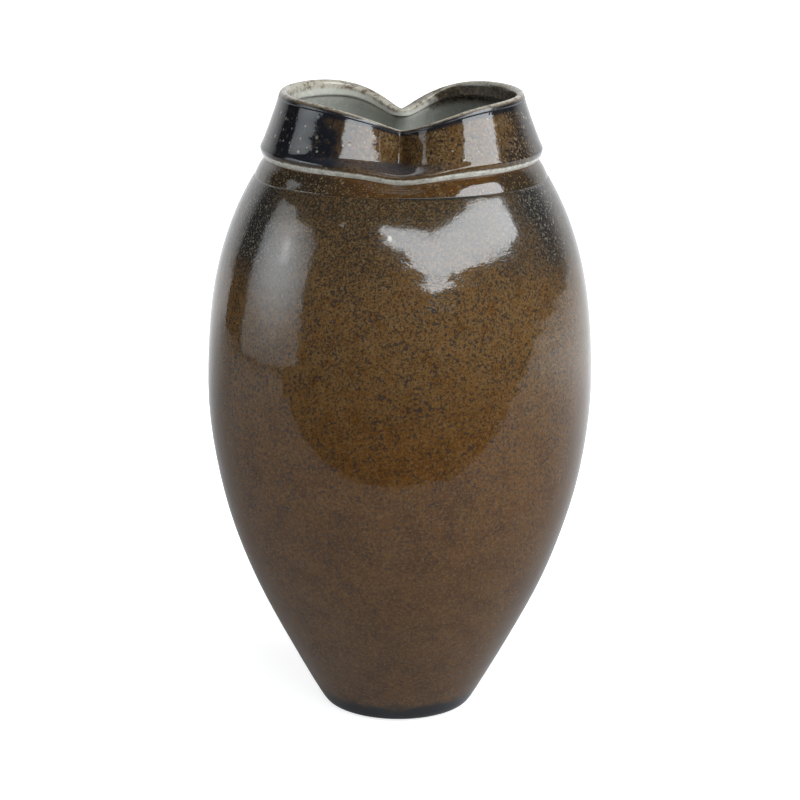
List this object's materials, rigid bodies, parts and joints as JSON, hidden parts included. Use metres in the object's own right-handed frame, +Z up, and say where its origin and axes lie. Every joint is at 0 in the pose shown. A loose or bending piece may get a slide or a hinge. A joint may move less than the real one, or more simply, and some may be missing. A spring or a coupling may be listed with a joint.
{
  "type": "stoneware vase",
  "caption": "Egg-shaped glazed stoneware vase on a narrow foot, with a separately thrown collar squeezed front and back into a heart-shaped mouth.",
  "frame": {"origin": "centre of the foot, on the plane that the vase rests on", "axes": "+Z up through the mouth; the squeezed valleys of the collar face -Y (front) and +Y (back), and the two lobes of the mouth lie along X"},
  "size_m": [0.1586, 0.1586, 0.2602],
  "materials": {
    "fired_clay": "bare toasted stoneware, fine grit, matt",
    "fired_slip": "matt fired slip",
    "speckled_brown_glaze": "glossy brown glaze with dark iron specks, olive-black at the shoulder, blue-grey at the foot",
    "amber_glaze": "glossy amber glaze",
    "dark_iron_glaze": "glossy blue-black to brown iron glaze with cream dots, breaking pale on the edges",
    "pale_liner_glaze": "semi-gloss grey-green liner glaze",
    "pale_rim_glaze": "semi-gloss cream-grey glaze with brown stains along the lip"
  },
  "bodies": {
    "root": {"body": "fired_clay", "joint_slip": "fired_slip", "collar": "fired_clay", "seam_coil": "fired_clay", "body_glaze": "speckled_brown_glaze", "seam_glaze": "amber_glaze", "collar_glaze": "dark_iron_glaze", "body_liner": "pale_liner_glaze", "collar_liner": "pale_rim_glaze"}
  },
  "joints": []
}
